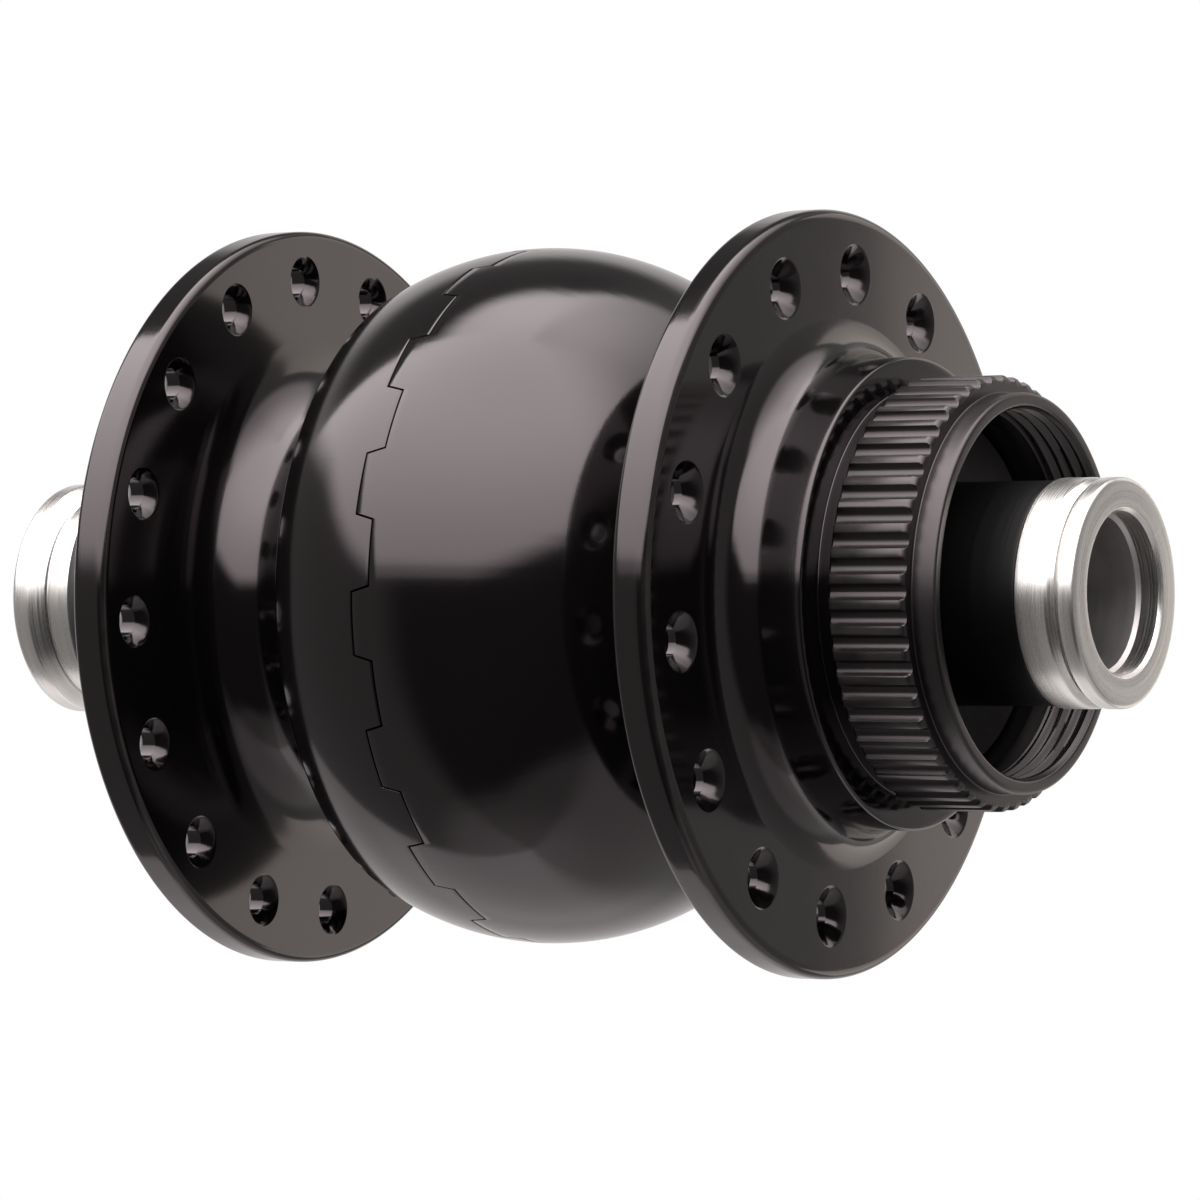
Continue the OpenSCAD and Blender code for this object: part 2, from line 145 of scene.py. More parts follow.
# Connector and terminals
COLLAR_BORE_R = 9.25
BLOCK_HALF = 6.6
POCKET_Y0 = -43.0
POCKET_Y1 = -37.0
TAB_END_X = -12.55
TAB_Z = 3.5
TAB_T = 0.8
TAB_HOLE_R = 0.7
TAB_HOLE_X = 2.4


# ---------------------------------------------------------------- outlines and meshes


def arc(cr, cy, r, a0, a1, n):
    """Points (radius, axial place) along an arc about (cr, cy)."""
    turns = [math.radians(a0 + (a1 - a0) * i / n) for i in range(n + 1)]
    return [(cr + r * math.cos(a), cy + r * math.sin(a)) for a in turns]


def rounded(corners, step=11.0, support=0.35):
    """A closed outline from (radius, axial place, rounding) corners, each rounding an arc.
    A point stands a little way outside each arc, so that flats next to it shade flat."""
    out = []
    count = len(corners)
    for i, (r, y, bend) in enumerate(corners):
        p = Vector((r, y))
        before = Vector(corners[i - 1][:2]) - p
        after = Vector(corners[(i + 1) % count][:2]) - p
        if bend <= 0 or before.length < 1e-9 or after.length < 1e-9:
            out.append((r, y))
            continue
        u, v = before.normalized(), after.normalized()
        opening = u.angle(v)
        reach = bend / math.tan(opening / 2)
        reach = min(reach, before.length * 0.49, after.length * 0.49)
        bend = reach * math.tan(opening / 2)
        centre = p + (u + v).normalized() * (bend / math.sin(opening / 2))
        start, stop = p + u * reach, p + v * reach
        s, e = start - centre, stop - centre
        sweep = math.atan2(s.x * e.y - s.y * e.x, s.dot(e))
        n = max(3, round(abs(math.degrees(sweep)) / step))
        margin = min(support, before.length * 0.49 - reach + 0.01)
        if margin > 0.02:
            out.append(tuple(start + u * margin))
        for k in range(n + 1):
            a = sweep * k / n
            across = s.x * math.cos(a) - s.y * math.sin(a)
            along = s.x * math.sin(a) + s.y * math.cos(a)
            out.append((centre.x + across, centre.y + along))
        margin = min(support, after.length * 0.49 - reach + 0.01)
        if margin > 0.02:
            out.append(tuple(stop + v * margin))
    return out


def lathe(name, radii, places, angles):
    """A closed ring-shaped mesh. radii and places are (points, columns) arrays, angles are the columns'."""
    points, columns = radii.shape
    turn = np.radians(angles)
    x, z = radii * np.cos(turn), radii * np.sin(turn)
    co = np.stack([x, places, z], axis=2).reshape(-1, 3) * MM
    k = np.arange(points)[:, None]
    i = np.arange(columns)[None, :]
    k2, i2 = (k + 1) % points, (i + 1) % columns
    quads = np.stack([k * columns + i, k * columns + i2, k2 * columns + i2, k2 * columns + i], axis=2)
    r, y = radii[:, 0], places[:, 0]
    area = np.sum(r * np.roll(y, -1) - np.roll(r, -1) * y)
    if area > 0:
        quads = quads[:, :, ::-1]
    mesh = bpy.data.meshes.new(name)
    mesh.from_pydata(co.tolist(), [], quads.reshape(-1, 4).tolist())
    mesh.shade_smooth()
    piece = bpy.data.objects.new(name, mesh)
    bpy.context.scene.collection.objects.link(piece)
    return piece


def turned(name, outline, columns=256):
    """A piece turned from one outline."""
    pts = np.array(outline)
    ones = np.ones(columns)
    angles = np.arange(columns) * 360 / columns
    return lathe(name, pts[:, :1] * ones, pts[:, 1:] * ones, angles)


def smooth(piece, angle=32):
    piece.data.set_sharp_from_angle(angle=math.radians(angle))
    return piece


def flats_stay_flat(piece, levels):
    """Gives the flat faces at these axial places their exact normals, so that holes don't shade them."""
    mesh = piece.data
    normals = np.zeros(len(mesh.corner_normals) * 3, np.float32)
    mesh.corner_normals.foreach_get("vector", normals)
    normals = normals.reshape(-1, 3)
    facing = np.zeros(len(mesh.polygons) * 3, np.float32)
    mesh.polygons.foreach_get("normal", facing)
    facing = facing.reshape(-1, 3)
    centre = np.zeros(len(mesh.polygons) * 3, np.float32)
    mesh.polygons.foreach_get("center", centre)
    centre = centre.reshape(-1, 3)
    start = np.zeros(len(mesh.polygons), np.int32)
    mesh.polygons.foreach_get("loop_start", start)
    total = np.zeros(len(mesh.polygons), np.int32)
    mesh.polygons.foreach_get("loop_total", total)
    flat = np.abs(facing[:, 1]) > 0.9999
    level = np.zeros(len(centre), bool)
    for y in levels:
        level |= np.abs(centre[:, 1] - y * MM) < 2e-6
    for f in np.nonzero(flat & level)[0]:
        normals[start[f]:start[f] + total[f]] = facing[f]
    mesh.normals_split_custom_set(normals.tolist())


def combine(piece, other, operation):
    """Combines the piece with another closed mesh, which is then removed."""
    modifier = piece.modifiers.new("combine", "BOOLEAN")
    modifier.operation = operation
    modifier.solver = "EXACT"
    modifier.object = other
    graph = bpy.context.evaluated_depsgraph_get()
    mesh = bpy.data.meshes.new_from_object(piece.evaluated_get(graph))
    piece.modifiers.clear()
    old = piece.data
    piece.data = mesh
    mesh.name = piece.name
    bpy.data.meshes.remove(old)
    bpy.data.objects.remove(other)


def cut_with(piece, cutter):
    combine(piece, cutter, "DIFFERENCE")


def join_with(piece, other):
    combine(piece, other, "UNION")


def spoke_cutter(count, pcd, phase, y0, y1, hole_r, sink_r):
    """One mesh of double-ended countersink cutters, a column of them round the flange."""
    depth = sink_r - hole_r
    lip = 0.12
    profile = [
        (0.0, y0 - 1.0), (sink_r + 1.0 + lip, y0 - 1.0), (sink_r + lip, y0), (sink_r - 0.06, y0 + 0.10),
        (hole_r + 0.14, y0 + depth), (hole_r, y0 + depth + 0.2),
    ]
    mirrored = [(r, y0 + y1 - y) for r, y in reversed(profile)]
    outline = profile + mirrored
    sides = 40
    verts, faces = [], []
    for h in range(count):
        a = math.radians(phase + h * 360 / count)
        cx, cz = pcd / 2 * math.cos(a), pcd / 2 * math.sin(a)
        base = len(verts)
        verts.append((cx * MM, outline[0][1] * MM, cz * MM))
        rings = outline[1:-1]
        for r, y in rings:
            for s in range(sides):
                t = 2 * math.pi * s / sides
                verts.append(((cx + r * math.cos(t)) * MM, y * MM, (cz + r * math.sin(t)) * MM))
        verts.append((cx * MM, outline[-1][1] * MM, cz * MM))
        last = len(verts) - 1
        for s in range(sides):
            n = (s + 1) % sides
            faces.append((base, base + 1 + s, base + 1 + n))
            for k in range(len(rings) - 1):
                p = base + 1 + k * sides
                q = p + sides
                faces.append((p + s, q + s, q + n, p + n))
            p = base + 1 + (len(rings) - 1) * sides
            faces.append((p + n, p + s, last))
    mesh = bpy.data.meshes.new("cutter")
    mesh.from_pydata(verts, [], faces)
    work = bmesh.new()
    work.from_mesh(mesh)
    bmesh.ops.recalc_face_normals(work, faces=work.faces)
    work.to_mesh(mesh)
    work.free()
    cutter = bpy.data.objects.new("cutter", mesh)
    bpy.context.scene.collection.objects.link(cutter)
    return cutter


# ---------------------------------------------------------------- the two shells


def seam_corners(grow):
    """(angle, axial place) corners of the seam line over the whole turn, the left side grown by grow."""
    half = math.pi * BARREL_R / TEETH / 2
    wide = math.degrees((half + SEAM_SLANT / 2 + grow) / BARREL_R)
    narrow = math.degrees((half - SEAM_SLANT / 2 + grow) / BARREL_R)
    corners = []
    for t in range(-1, TEETH + 1):
        middle = SEAM_PHASE + t * 360 / TEETH
        corners += [(middle - wide, SEAM_LOW + grow), (middle - narrow, SEAM_HIGH + grow),
                    (middle + narrow, SEAM_HIGH + grow), (middle + wide, SEAM_LOW + grow)]
    return corners


def seam_line(angles, grow):
    corners = seam_corners(grow)
    return np.interp(angles, [c[0] for c in corners], [c[1] for c in corners])


def columns_for(base, grow):
    """Even columns, and one at each corner of the seam with a close neighbour on both sides."""
    extra = []
    for a, _ in seam_corners(grow):
        extra += [(a - 0.12) % 360, a % 360, (a + 0.12) % 360]
    even = [a for a in base if min(abs(a - e) for e in extra) > 0.05]
    return np.array(sorted(set(round(a, 6) for a in even + extra)))


CORNER_R = 1.0
CROWN_C = BARREL_R - CROWN_R
CORNER_A = math.degrees(math.asin((10.55 - CORNER_R) / (CROWN_R - CORNER_R)))
CORNER_C = CROWN_C + (CROWN_R - CORNER_R) * math.cos(math.radians(CORNER_A))
HOLLOW_R = 3.0
HOLLOW_Y = RIGHT_FLANGE_Y - HOLLOW_R
HOLLOW_A = math.degrees(math.asin((HOLLOW_Y - BARREL_Y) / (CROWN_R + HOLLOW_R)))
HOLLOW_C = CROWN_C + (CROWN_R + HOLLOW_R) * math.cos(math.radians(HOLLOW_A))


def crown_radius(y):
    return CROWN_C + np.sqrt(CROWN_R**2 - (y - BARREL_Y) ** 2)


def left_shell():
    """The left flange, the waist, the barrel up to the seam and the spigot under the right shell."""
    angles = columns_for([i * 0.9375 for i in range(384)], 0.0)
    seam = seam_line(angles, 0.0)
    ones = np.ones(len(angles))
    face = LEFT_FLANGE_Y - FLANGE_T
    outside = rounded([
        (12.0, LEFT_BOSS_Y, 0), (17.2, LEFT_BOSS_Y, 0.6), (17.2, face, 3.5), (FLANGE_R, face, 0.55),
        (FLANGE_R, LEFT_FLANGE_Y, 0.7), (WAIST_R, LEFT_FLANGE_Y, 5.5), (WAIST_R, WALL_Y, 4.0),
        (24.0, WALL_Y, 0),
    ], step=6)[1:-1]
    outside += arc(CORNER_C, BARREL_Y - 10.55 + CORNER_R, CORNER_R, -90, -CORNER_A, 10)
    rows_r = [r * ones for r, _ in outside]
    rows_y = [y * ones for _, y in outside]
    crown_start = BARREL_Y - CROWN_R * math.sin(math.radians(CORNER_A))
    bevel = 0.05
    for k in range(1, 27):
        share = 1 - (1 - k / 26) ** 1.15
        y = crown_start + (seam - bevel - crown_start) * share
        rows_r.append(crown_radius(y))
        rows_y.append(y)
    rows_r.append(crown_radius(seam) - bevel * 0.3)
    rows_y.append(seam - bevel * 0.3)
    rows_r.append(crown_radius(seam) - bevel)
    rows_y.append(seam)
    tail = [
        (SPIGOT_R + 0.02, None), (SPIGOT_R, SPIGOT_Y - 0.2), (SPIGOT_R - 0.2, SPIGOT_Y),
        (CAVITY_R, SPIGOT_Y), (CAVITY_R, BARREL_Y - CAVITY_HALF), (NECK_R, BARREL_Y - CAVITY_HALF),
        (NECK_R, -SEAT_Y), (BEARING_R, -SEAT_Y), (BEARING_R, -CIRCLIP_Y0), (CIRCLIP_R, -CIRCLIP_Y0),
        (CIRCLIP_R, -CIRCLIP_Y1), (BEARING_R, -CIRCLIP_Y1), (BEARING_R, LEFT_BOSS_Y + 0.3),
        (BEARING_R + 0.3, LEFT_BOSS_Y),
    ]
    for r, y in tail:
        rows_r.append(r * ones)
        rows_y.append(seam if y is None else y * ones)
    piece = lathe("left_shell", np.array(rows_r), np.array(rows_y), angles)
    cut_with(piece, spoke_cutter(16, 52.8, 17.86, face, LEFT_FLANGE_Y, SPOKE_HOLE_R, 2.05))
    smooth(piece)
    flats_stay_flat(piece, [face, LEFT_FLANGE_Y])
    return piece


def spline_shape(angles):
    """Radius of the spline's surface at each angle: round grooves between narrow rounded ridges."""
    pitch = 360 / SPLINE_TEETH
    off = np.abs((angles + pitch / 2) % pitch - pitch / 2)
    t = np.radians(off) * SPLINE_R
    round_r = 0.1
    groove = SPLINE_R - np.sqrt(np.clip(GROOVE_R**2 - t**2, 0, None))
    edge = np.clip(1 - (t - GROOVE_R) / round_r, 0, 1)
    return np.where(t < GROOVE_R, np.minimum(groove, SPLINE_R - round_r), SPLINE_R - round_r * edge**2)


def spline_columns():
    pitch = 360 / SPLINE_TEETH
    places = [0.0, 0.3, 0.48, 0.59, 0.65, 0.78]
    turns = [math.degrees(p / SPLINE_R) for p in places]
    turns = sorted(set([-t for t in turns] + turns))
    return [round((c * pitch + t) % 360, 6) for c in range(SPLINE_TEETH) for t in turns]


def thread_radius(angles, y):
    """Radius of the internal thread at each angle and one axial place."""
    phase = (y / THREAD_PITCH + angles / 360) % 1
    wave = np.clip(np.abs(phase - 0.5) * 2.6 - 0.15, 0, 1)
    return THREAD_R + THREAD_DEPTH * wave


def right_shell():
    """The barrel from the seam on, the right flange, and the splined and threaded disc mount."""
    angles = columns_for(spline_columns(), SEAM_GAP)
    seam = seam_line(angles, SEAM_GAP)
    ones = np.ones(len(angles))
    face = RIGHT_FLANGE_Y + FLANGE_T
    rows = []

    def add(r, y):
        rows.append((r * ones, y * ones))

    bevel = 0.05
    add(SPIGOT_R + SEAM_GAP, seam)
    add(crown_radius(seam) - bevel, seam)
    add(crown_radius(seam) - bevel * 0.3, seam + bevel * 0.3)
    crown_end = BARREL_Y + CROWN_R * math.sin(math.radians(HOLLOW_A))
    for k in range(20):
        y = seam + bevel + (crown_end - seam - bevel) * (k / 20) ** 1.1
        add(crown_radius(y), y)
    for r, y in arc(HOLLOW_C, HOLLOW_Y, HOLLOW_R, 180 + HOLLOW_A, 90, 12):
        add(r, y)
    mount = rounded([
        (22.0, RIGHT_FLANGE_Y, 0), (FLANGE_R, RIGHT_FLANGE_Y, 0.55), (FLANGE_R, face, 0.85),
        (SHOULDER_R, face, 3.5), (SHOULDER_R, SHOULDER_Y, 0.25), (RELIEF_R, SHOULDER_Y, 0.1),
        (RELIEF_R, SPLINE_Y0 - 0.3, 0),
    ], step=10)
    for r, y in mount[1:]:
        add(r, y)
    ridge = spline_shape(angles)
    foot = np.minimum(ridge, 16.75)
    add(foot - 0.1, SPLINE_Y0)
    add(foot, SPLINE_Y0 + 0.08)
    add(np.minimum(ridge, 16.98), SPLINE_Y0 + 0.18)
    add(ridge, SPLINE_Y0 + 0.36)
    # The crests round off towards the mouth
    for top, before in ((SPLINE_R, 0.55), (SPLINE_R, 0.41), (17.0, 0.23), (16.82, 0.07), (16.7, 0.0)):
        add(np.minimum(ridge, top), SPLINE_Y1 - before)
    add(16.32, SPLINE_Y1)
    lip = rounded([
        (16.3, SPLINE_Y1, 0), (LIP_R, SPLINE_Y1, 0.12), (LIP_R, MOUTH_Y, 0.3),
        (THREAD_R + 0.25, MOUTH_Y, 0.25), (THREAD_R + 0.1, THREAD_Y1 + 0.05, 0),
    ], step=10)
    for r, y in lip[1:-1]:
        add(r, y)
    rings = 42
    for k in range(rings + 1):
        y = THREAD_Y1 + (THREAD_Y0 - THREAD_Y1) * k / rings
        fade = min(1.0, k / 5, (rings - k) / 3)
        add(THREAD_R + (thread_radius(angles, y) - THREAD_R) * fade, y)
    runout_r, runout_y, funnel_y = 15.0, 36.4, 15.2
    bore = [
        (runout_r, THREAD_Y0 - 0.15), (runout_r, runout_y), (BEARING_R, runout_y),
        (BEARING_R, CIRCLIP_Y1), (CIRCLIP_R, CIRCLIP_Y1), (CIRCLIP_R, CIRCLIP_Y0), (BEARING_R, CIRCLIP_Y0),
        (BEARING_R, SEAT_Y), (NECK_R, SEAT_Y), (NECK_R, funnel_y), (15.5, funnel_y),
        (22.8, BARREL_Y + CAVITY_HALF), (CAVITY_R, BARREL_Y + CAVITY_HALF),
        (CAVITY_R, SPIGOT_Y + SEAM_GAP), (SPIGOT_R + SEAM_GAP, SPIGOT_Y + SEAM_GAP),
    ]
    for r, y in bore:
        add(r, y)
    radii = np.array([r for r, _ in rows])
    places = np.array([y for _, y in rows])
    piece = lathe("right_shell", radii, places, angles)
    cut_with(piece, spoke_cutter(14, 51.2, 17.2, RIGHT_FLANGE_Y, face, SPOKE_HOLE_R, 2.35))
    smooth(piece)
    flats_stay_flat(piece, [face, RIGHT_FLANGE_Y])
    return piece


# ---------------------------------------------------------------- materials

class Finish:
    """A Principled material with a few helpers for adding grain, variation, wear and painted edge
    highlights.
    """

    def __init__(self, name, colour, roughness, metallic=0.0, **sockets):
        self.material = bpy.data.materials.new(name)
        self.material.use_nodes = True
        self.nodes = self.material.node_tree.nodes
        self.links = self.material.node_tree.links
        self.shader = next(n for n in self.nodes if n.type == "BSDF_PRINCIPLED")
        self.colour, self.roughness = colour, roughness
        self.shader.inputs["Base Color"].default_value = (*colour, 1)
        self.shader.inputs["Roughness"].default_value = roughness
        self.shader.inputs["Metallic"].default_value = metallic
        for key, value in sockets.items():
            self.shader.inputs[key.replace("_", " ")].default_value = value
        self.place = self.nodes.new("ShaderNodeTexCoord").outputs["Object"]
        self.height = None

    def math(self, operation, a, b=None):
        node = self.nodes.new("ShaderNodeMath")
        node.operation = operation
        for socket, value in zip(node.inputs, (a, b)):
            if value is None:
                continue
            if isinstance(value, (int, float)):
                socket.default_value = value
            else:
                self.links.new(value, socket)
        return node.outputs[0]

    def around(self, along, across):
        """Coordinates that follow the turning marks: rings on faces, lines round cylinders."""
        split = self.nodes.new("ShaderNodeSeparateXYZ")
        self.links.new(self.place, split.inputs[0])
        x, y, z = split.outputs
        square = self.math("ADD", self.math("MULTIPLY", x, x), self.math("MULTIPLY", z, z))
        radius = self.math("SQRT", square)
        join = self.nodes.new("ShaderNodeCombineXYZ")
        self.links.new(self.math("MULTIPLY", radius, along), join.inputs[0])
        self.links.new(self.math("MULTIPLY", y, along), join.inputs[1])
        self.links.new(self.math("MULTIPLY", self.math("ADD", x, z), across), join.inputs[2])
        return join.outputs[0]

    def noise(self, scale, detail=3.0, vector=None, distortion=0.0):
        node = self.nodes.new("ShaderNodeTexNoise")
        node.inputs["Scale"].default_value = scale
        node.inputs["Detail"].default_value = detail
        node.inputs["Distortion"].default_value = distortion
        self.links.new(vector or self.place, node.inputs["Vector"])
        return node.outputs["Fac"]

    def ramp(self, value, low, high, out_low, out_high):
        node = self.nodes.new("ShaderNodeMapRange")
        node.inputs["From Min"].default_value = low
        node.inputs["From Max"].default_value = high
        node.inputs["To Min"].default_value = out_low
        node.inputs["To Max"].default_value = out_high
        self.links.new(value, node.inputs["Value"])
        return node.outputs[0]

    def tint(self, amount, other):
        """Mixes the colour towards another by amount, a socket."""
        node = self.nodes.new("ShaderNodeMix")
        node.data_type = "RGBA"
        self.links.new(amount, node.inputs[0])
        node.inputs[6].default_value = (*self.colour, 1)
        node.inputs[7].default_value = (*other, 1)
        self.links.new(node.outputs[2], self.shader.inputs["Base Color"])
        return node

    def pointed(self, reach=0.6, low=0.515, high=0.57):
        """High along convex edges of an evenly meshed piece."""
        geometry = self.nodes.new("ShaderNodeNewGeometry")
        return self.ramp(geometry.outputs["Pointiness"], low, high, 0, reach)

    def from_axis(self):
        """Distance from the hub's axis, in mm, and the place along it, in mm."""
        split = self.nodes.new("ShaderNodeSeparateXYZ")
        self.links.new(self.place, split.inputs[0])
        x, y, z = split.outputs
        square = self.math("ADD", self.math("MULTIPLY", x, x), self.math("MULTIPLY", z, z))
        return self.math("DIVIDE", self.math("SQRT", square), MM), self.math("DIVIDE", y, MM)

    def wear_and_highlight(self, other, edge):
        """Edges turn towards another colour in patches: rubbed wear where handling rubs the surface, and on
        the black anodise also a painted highlight along the flange corners and spline crests.
        """
        patches = self.ramp(self.noise(420, 3), 0.35, 0.65, 0.25, 1)
        node = self.nodes.new("ShaderNodeMix")
        node.data_type = "RGBA"
        self.links.new(self.math("MULTIPLY", edge, patches), node.inputs[0])
        before = self.shader.inputs["Base Color"]
        if before.links:
            self.links.new(before.links[0].from_socket, node.inputs[6])
        else:
            node.inputs[6].default_value = (*self.colour, 1)
        node.inputs[7].default_value = (*other, 1)
        self.links.new(node.outputs[2], before)

    def zone(self, axis, start, stop):
        """Goes from 0 to 1 along one of the object's axes, between two places in mm."""
        split = self.nodes.new("ShaderNodeSeparateXYZ")
        self.links.new(self.place, split.inputs[0])
        return self.ramp(split.outputs[axis], start * MM, stop * MM, 0, 1)

    def rough(self, socket):
        self.links.new(socket, self.shader.inputs["Roughness"])

    def bump(self, value, distance, strength=1.0):
        node = self.nodes.new("ShaderNodeBump")
        node.inputs["Strength"].default_value = strength
        node.inputs["Distance"].default_value = distance
        self.links.new(value, node.inputs["Height"])
        if self.height is not None:
            self.links.new(self.height, node.inputs["Normal"])
        self.height = node.outputs[0]
        self.links.new(self.height, self.shader.inputs["Normal"])


def black_anodised():
    f = Finish("polished_black_anodised", (0.0016, 0.0013, 0.0014), 0.11, IOR=1.62)
    f.shader.inputs["Specular Tint"].default_value = (1.0, 0.9, 0.93, 1)
    cloud = f.noise(90, 4)
    fine = f.noise(5200, 2)
    rings = f.noise(1.0, 2, f.around(9000, 120))
    f.tint(f.math("MULTIPLY", cloud, 0.35), (0.005, 0.0045, 0.0042))
    # The disc mount is left satin, the rest is polished
    satin = f.math("MULTIPLY", f.zone(1, SPLINE_Y0 - 0.3, SPLINE_Y0), 0.21)
    polish = f.math("ADD", f.ramp(cloud, 0.3, 0.7, 0.08, 0.115), f.ramp(fine, 0.3, 0.7, 0.0, 0.03))
    f.rough(f.math("ADD", polish, satin))
    f.bump(rings, 0.0000012)
    f.bump(fine, 0.0000008)
    # Rubbed wear and a painted highlight lighten the corners of the flanges and the crests of the spline,
    # in patches
    radius, along = f.from_axis()
    near = 0.0
    for place in (LEFT_FLANGE_Y - FLANGE_T, LEFT_FLANGE_Y, RIGHT_FLANGE_Y, RIGHT_FLANGE_Y + FLANGE_T):
        gap = f.math("ABSOLUTE", f.math("SUBTRACT", along, place))
        near = f.math("MAXIMUM", near, f.ramp(gap, 0.15, 0.5, 1, 0))
    corners = f.math("MULTIPLY", near, f.ramp(radius, FLANGE_R - 0.6, FLANGE_R - 0.2, 0, 0.5))
    crest = f.ramp(radius, SPLINE_R - 0.14, SPLINE_R - 0.02, 0, 0.5)
    crests = f.math("MULTIPLY", f.zone(1, SPLINE_Y0 + 0.1, SPLINE_Y0 + 0.4), crest)
    # Painted highlight and rubbed wear: the colour is lifted on the flange corners and the spline crests
    f.wear_and_highlight((0.03, 0.027, 0.026), f.math("MAXIMUM", corners, crests))
    return f.material


def turned_steel(name, colour, roughness, depth=0.000012):
    f = Finish(name, colour, roughness, 1.0)
    rings = f.noise(1.0, 4, f.around(7000, 60))
    broad = f.noise(1.0, 2, f.around(900, 40))
    smudge = f.noise(160, 3)
    darker = tuple(c * 0.72 for c in colour)
    f.tint(f.ramp(broad, 0.35, 0.7, 0.0, 0.8), darker)
    f.rough(f.math("ADD", f.ramp(rings, 0.3, 0.7, roughness - 0.06, roughness + 0.08),
                   f.ramp(smudge, 0.4, 0.7, 0.0, 0.05)))
    f.bump(rings, depth)
    f.wear_and_highlight(tuple(min(1, c * 1.2) for c in colour), f.pointed())
    return f.material


def satin_black():
    f = Finish("satin_black_sleeve", (0.0022, 0.0021, 0.0021), 0.42, IOR=1.3)
    rings = f.noise(1.0, 3, f.around(6000, 40))
    grain = f.noise(6000, 2)
    f.tint(f.ramp(grain, 0.4, 0.7, 0, 0.6), (0.005, 0.0048, 0.0046))
    f.rough(f.ramp(rings, 0.3, 0.7, 0.36, 0.48))
    f.bump(rings, 0.000004)
    f.bump(grain, 0.000002)
    f.wear_and_highlight((0.02, 0.019, 0.018), f.pointed(0.5))
    return f.material


def moulded(name, colour, roughness=0.5, grain_scale=2600, lighter=1.6):
    f = Finish(name, colour, roughness, IOR=1.5)
    grain = f.noise(grain_scale, 4)
    cloud = f.noise(240, 2)
    f.tint(f.ramp(cloud, 0.35, 0.7, 0.0, 0.7), tuple(min(1, c * lighter) for c in colour))
    f.rough(f.ramp(grain, 0.3, 0.7, roughness - 0.08, roughness + 0.08))
    f.bump(grain, 0.000012)
    f.wear_and_highlight(tuple(min(1, c * 2) for c in colour), f.pointed(0.4))
    return f.material


def rubber():
    f = Finish("black_nitrile_rubber", (0.028, 0.025, 0.025), 0.62, IOR=1.5)
    grain = f.noise(4200, 4)
    dust = f.noise(300, 3)
    f.tint(f.ramp(dust, 0.5, 0.75, 0.0, 0.5), (0.05, 0.048, 0.045))
    f.rough(f.ramp(grain, 0.3, 0.7, 0.55, 0.72))
    f.bump(grain, 0.00001)
    return f.material


def pressed_iron():
    f = Finish("pressed_soft_iron", (0.3, 0.31, 0.33), 0.45, 1.0)
    grain = f.noise(2500, 5)
    stain = f.noise(200, 3)
    f.tint(f.ramp(stain, 0.4, 0.75, 0.0, 0.7), (0.16, 0.15, 0.14))
    f.rough(f.ramp(grain, 0.3, 0.7, 0.36, 0.55))
    f.bump(grain, 0.00001)
    return f.material


def wound_copper():
    f = Finish("enamelled_copper", (0.62, 0.25, 0.09), 0.3, 0.85)
    strands = f.noise(1.0, 0, f.around(3200, 4))
    f.tint(f.ramp(strands, 0.35, 0.65, 0.0, 1.0), (0.36, 0.12, 0.04))
    f.rough(f.ramp(strands, 0.3, 0.7, 0.24, 0.4))
    f.bump(strands, 0.00006)
    return f.material


def nickel():
    f = Finish("nickel_plate", (0.64, 0.63, 0.62), 0.2, 1.0)
    cloud = f.noise(500, 3)
    f.tint(f.ramp(cloud, 0.4, 0.7, 0.0, 0.6), (0.52, 0.5, 0.48))
    f.rough(f.ramp(cloud, 0.3, 0.7, 0.16, 0.28))
    f.bump(f.noise(3000, 2), 0.000003)
    return f.material


MATERIALS = {
    "black_anodised": black_anodised(),
    "cap_steel": turned_steel("turned_stainless", (0.8, 0.79, 0.765), 0.27),
    "axle_steel": turned_steel("ground_axle_steel", (0.56, 0.54, 0.54), 0.42, 0.000006),
    "bearing_steel": turned_steel("polished_bearing_steel", (0.66, 0.66, 0.67), 0.16, 0.000002),
    "black_sleeve": satin_black(),
    "black_plastic": moulded("glass_filled_nylon", (0.014, 0.014, 0.015), 0.5),
    "black_rubber": rubber(),
    "cage_polymer": moulded("cage_nylon", (0.5, 0.36, 0.17), 0.45, 2200, 1.15),
    "white_plastic": moulded("coil_former_plastic", (0.74, 0.71, 0.62), 0.42, 2000, 1.08),
    "copper_wire": wound_copper(),
    "soft_iron": pressed_iron(),
    "magnet_nickel": nickel(),
    "spring_steel": turned_steel("blackened_spring_steel", (0.13, 0.13, 0.135), 0.34, 0.000004),
    "zinc_steel": turned_steel("zinc_plated_steel", (0.56, 0.57, 0.58), 0.32, 0.000006),
    "tinned_brass": turned_steel("tinned_brass", (0.66, 0.62, 0.52), 0.27, 0.000004),
}


def dress(piece, slot):
    piece.data.materials.clear()
    piece.data.materials.append(MATERIALS[slot])


def place(piece, body, slot, *nodes):
    """The piece rides on its body, takes its finish, and stands for the CAD nodes named."""
    dress(piece, slot)
    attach(piece, body)
    if nodes:
        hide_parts(*nodes)
    return piece


# ---------------------------------------------------------------- pieces

place(left_shell(), "shell_unit", "black_anodised", "shell_left")
place(right_shell(), "shell_unit", "black_anodised", "shell_right")


def cap_inside(side):
    """The stop for the axle's end, the seat on the axle and the groove for the O-ring."""
    corners = [
        (CAP_BORE_R, AXLE_END_Y), (AXLE_SEAT_R, AXLE_END_Y), (AXLE_SEAT_R, RING_GROOVE_Y1),
        (RING_GROOVE_R, RING_GROOVE_Y1), (RING_GROOVE_R, RING_GROOVE_Y0), (AXLE_SEAT_R, RING_GROOVE_Y0),
    ]
    return [(r, side * y, 0) for r, y in corners]


